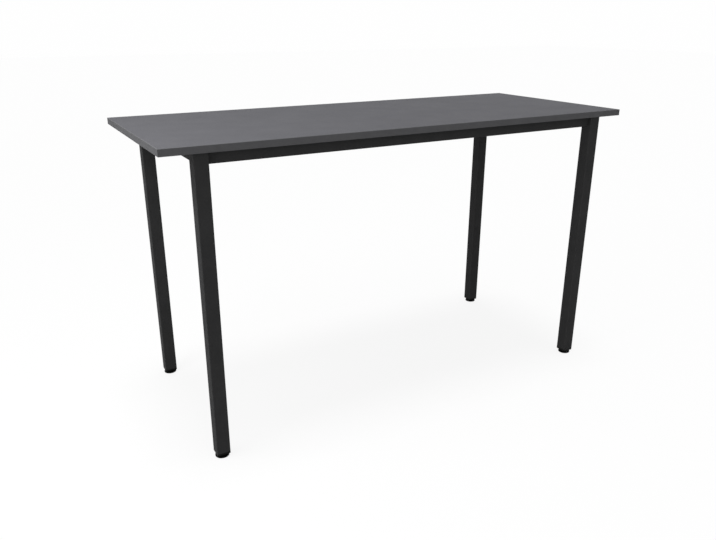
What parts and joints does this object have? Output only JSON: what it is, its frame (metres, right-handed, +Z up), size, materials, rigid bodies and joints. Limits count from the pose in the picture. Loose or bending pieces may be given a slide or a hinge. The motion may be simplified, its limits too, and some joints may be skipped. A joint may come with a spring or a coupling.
{
  "type": "standing meeting table",
  "caption": "Bar-height rectangular meeting table: dark laminate board with thin edging on a black steel frame of square legs and flat rails, standing on screw feet.",
  "frame": {"origin": "on the floor, below the middle of the board, with the feet screwed right in", "axes": "+X along the board's length, +Y across it to the rear, +Z up"},
  "size_m": [2, 0.8, 1.153],
  "materials": {
    "laminate": "matte",
    "edging": "satin",
    "powder_coat": "satin",
    "raw_steel": "satin",
    "bright_zinc": "satin",
    "black_zinc": "satin",
    "black_nylon": "satin",
    "sole_rubber": "matte"
  },
  "bodies": {
    "frame": {"top_board": "laminate", "edging_front": "edging", "rail_front": "powder_coat", "rail_screws_front": "black_zinc", "edging_rear": "edging", "rail_rear": "powder_coat", "rail_screws_rear": "black_zinc", "edging_left": "edging", "rail_left": "powder_coat", "rail_screws_left": "black_zinc", "edging_right": "edging", "rail_right": "powder_coat", "rail_screws_right": "black_zinc", "tenon_front_left": "raw_steel", "tenon_front_right": "raw_steel", "tenon_rear_right": "raw_steel", "tenon_rear_left": "raw_steel", "tenon_left_rear": "raw_steel", "tenon_left_front": "raw_steel", "tenon_right_front": "raw_steel", "tenon_right_rear": "raw_steel", "leg_front_left": "powder_coat", "leg_plug_front_left": "black_nylon", "foot_nut_front_left": "bright_zinc", "leg_front_right": "powder_coat", "leg_plug_front_right": "black_nylon", "foot_nut_front_right": "bright_zinc", "leg_rear_left": "powder_coat", "leg_plug_rear_left": "black_nylon", "foot_nut_rear_left": "bright_zinc", "leg_rear_right": "powder_coat", "leg_plug_rear_right": "black_nylon", "foot_nut_rear_right": "bright_zinc", "board_screws": "bright_zinc", "board_inserts": "bright_zinc"},
    "foot_front_left": {"foot_pad_front_left": "black_nylon", "foot_sole_front_left": "sole_rubber"},
    "stem_front_left": {"foot_stem_front_left": "bright_zinc"},
    "foot_front_right": {"foot_pad_front_right": "black_nylon", "foot_sole_front_right": "sole_rubber"},
    "stem_front_right": {"foot_stem_front_right": "bright_zinc"},
    "foot_rear_left": {"foot_pad_rear_left": "black_nylon", "foot_sole_rear_left": "sole_rubber"},
    "stem_rear_left": {"foot_stem_rear_left": "bright_zinc"},
    "foot_rear_right": {"foot_pad_rear_right": "black_nylon", "foot_sole_rear_right": "sole_rubber"},
    "stem_rear_right": {"foot_stem_rear_right": "bright_zinc"}
  },
  "joints": [
    {"name": "foot_height_front_left", "type": "slide", "parent": "frame", "child": "foot_front_left", "axis": [0, 0, -1], "range_m": [0, 0.015]},
    {"name": "stem_turn_front_left", "type": "hinge", "parent": "foot_front_left", "child": "stem_front_left", "pos_m": [-0.865, -0.367, 0.014], "axis": [0, 0, -1], "range_deg": [0, 3600]},
    {"name": "foot_height_front_right", "type": "slide", "parent": "frame", "child": "foot_front_right", "axis": [0, 0, -1], "range_m": [0, 0.015]},
    {"name": "stem_turn_front_right", "type": "hinge", "parent": "foot_front_right", "child": "stem_front_right", "pos_m": [0.865, -0.367, 0.014], "axis": [0, 0, -1], "range_deg": [0, 3600]},
    {"name": "foot_height_rear_left", "type": "slide", "parent": "frame", "child": "foot_rear_left", "axis": [0, 0, -1], "range_m": [0, 0.015]},
    {"name": "stem_turn_rear_left", "type": "hinge", "parent": "foot_rear_left", "child": "stem_rear_left", "pos_m": [-0.865, 0.367, 0.014], "axis": [0, 0, -1], "range_deg": [0, 3600]},
    {"name": "foot_height_rear_right", "type": "slide", "parent": "frame", "child": "foot_rear_right", "axis": [0, 0, -1], "range_m": [0, 0.015]},
    {"name": "stem_turn_rear_right", "type": "hinge", "parent": "foot_rear_right", "child": "stem_rear_right", "pos_m": [0.865, 0.367, 0.014], "axis": [0, 0, -1], "range_deg": [0, 3600]}
  ],
  "couplings": [
    {"joint": "stem_turn_front_left", "follows": "foot_height_front_left", "rad_per_m": 4188.8},
    {"joint": "stem_turn_front_right", "follows": "foot_height_front_right", "rad_per_m": 4188.8},
    {"joint": "stem_turn_rear_left", "follows": "foot_height_rear_left", "rad_per_m": 4188.8},
    {"joint": "stem_turn_rear_right", "follows": "foot_height_rear_right", "rad_per_m": 4188.8}
  ]
}
